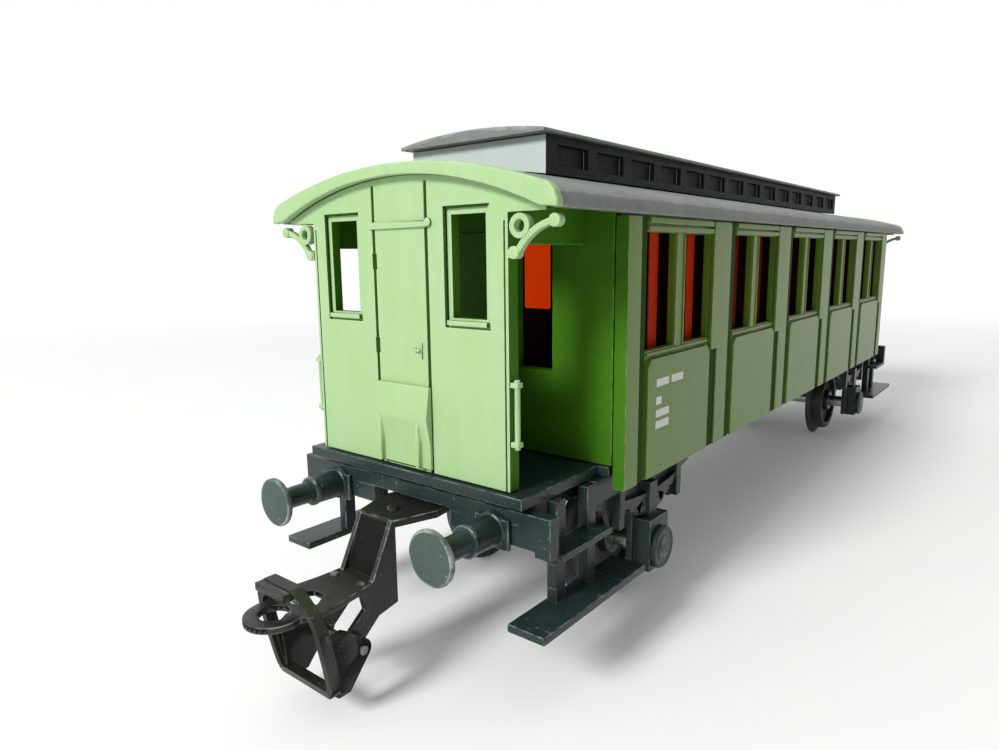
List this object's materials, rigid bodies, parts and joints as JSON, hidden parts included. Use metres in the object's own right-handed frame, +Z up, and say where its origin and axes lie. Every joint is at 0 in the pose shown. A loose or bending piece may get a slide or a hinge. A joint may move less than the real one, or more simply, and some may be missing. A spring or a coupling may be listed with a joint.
{
  "type": "model passenger coach",
  "caption": "Two-axle model railway passenger coach with open end porches, clerestory roof, buffers, footboards and swinging hoop couplers.",
  "frame": {"origin": "on the track plane under the flanges, below the middle of the coach", "axes": "+Y along the coach, front end at -Y; +X to the coach's right; +Z up"},
  "size_m": [0.0248, 0.1176, 0.0351],
  "materials": {
    "body_green": "semi-matt moulded green plastic",
    "end_green": "semi-gloss moulded green plastic",
    "roof_grey": "matt mottled grey plastic",
    "interior_red": "satin red plastic",
    "chassis_black": "satin black plastic",
    "coupler_black": "satin black plastic, worn at the edges",
    "wheel_black": "satin black plastic",
    "axle_steel": "bright turned steel",
    "pin_steel": "dull steel",
    "ballast_steel": "plain steel sheet"
  },
  "bodies": {
    "root": {"axle_guard_front_left": "chassis_black", "axle_guard_front_right": "chassis_black", "axle_guard_rear_left": "chassis_black", "axle_guard_rear_right": "chassis_black", "axlebox_cover_front_left": "chassis_black", "axlebox_cover_front_right": "chassis_black", "axlebox_cover_rear_left": "chassis_black", "axlebox_cover_rear_right": "chassis_black", "ballast_plate": "ballast_steel", "buffer_beam_front": "chassis_black", "buffer_beam_rear": "chassis_black", "buffer_front_left": "chassis_black", "buffer_front_right": "chassis_black", "buffer_rear_left": "chassis_black", "buffer_rear_right": "chassis_black", "bulkhead_front": "body_green", "bulkhead_rear": "body_green", "chassis_floor": "chassis_black", "clerestory": "roof_grey", "clerestory_roof": "roof_grey", "coupler_pin_front": "pin_steel", "coupler_pin_rear": "pin_steel", "end_wall_front": "end_green", "end_wall_rear": "end_green", "gangway_plate_front": "end_green", "gangway_plate_rear": "end_green", "handrail_front_left": "end_green", "handrail_front_right": "end_green", "handrail_rear_left": "end_green", "handrail_rear_right": "end_green", "interior": "interior_red", "roof": "roof_grey", "roof_bracket_front_left": "end_green", "roof_bracket_front_right": "end_green", "roof_bracket_rear_left": "end_green", "roof_bracket_rear_right": "end_green", "roof_rim_front": "end_green", "roof_rim_rear": "end_green", "side_wall_left": "body_green", "side_wall_right": "body_green", "step_unit_front_left": "chassis_black", "step_unit_front_right": "chassis_black", "step_unit_rear_left": "chassis_black", "step_unit_rear_right": "chassis_black"},
    "wheelset_front": {"axle_front": "axle_steel", "wheel_front_left": "wheel_black", "wheel_front_right": "wheel_black"},
    "wheelset_rear": {"axle_rear": "axle_steel", "wheel_rear_left": "wheel_black", "wheel_rear_right": "wheel_black"},
    "coupler_front": {"coupler_arm_front": "coupler_black", "hoop_pin_front": "pin_steel"},
    "coupler_rear": {"coupler_arm_rear": "coupler_black", "hoop_pin_rear": "pin_steel"},
    "hoop_front": {"coupler_hoop_front": "coupler_black"},
    "hoop_rear": {"coupler_hoop_rear": "coupler_black"}
  },
  "joints": [
    {"name": "wheelset_front_spin", "type": "hinge", "parent": "root", "child": "wheelset_front", "pos_m": [0, -0.03155, 0.00505], "axis": [1, 0, 0], "continuous": true},
    {"name": "wheelset_rear_spin", "type": "hinge", "parent": "root", "child": "wheelset_rear", "pos_m": [0, 0.03155, 0.00505], "axis": [1, 0, 0], "continuous": true},
    {"name": "coupler_front_swing", "type": "hinge", "parent": "root", "child": "coupler_front", "pos_m": [0, -0.0423, 0.0105], "axis": [0, 0, 1], "range_deg": [-12, 12]},
    {"name": "coupler_rear_swing", "type": "hinge", "parent": "root", "child": "coupler_rear", "pos_m": [0, 0.0423, 0.0105], "axis": [0, 0, 1], "range_deg": [-12, 12]},
    {"name": "hoop_front_lift", "type": "hinge", "parent": "coupler_front", "child": "hoop_front", "pos_m": [0, -0.05275, 0.0036], "axis": [-1, 0, 0], "range_deg": [0, 40]},
    {"name": "hoop_rear_lift", "type": "hinge", "parent": "coupler_rear", "child": "hoop_rear", "pos_m": [0, 0.05275, 0.0036], "axis": [1, 0, 0], "range_deg": [0, 40]}
  ]
}
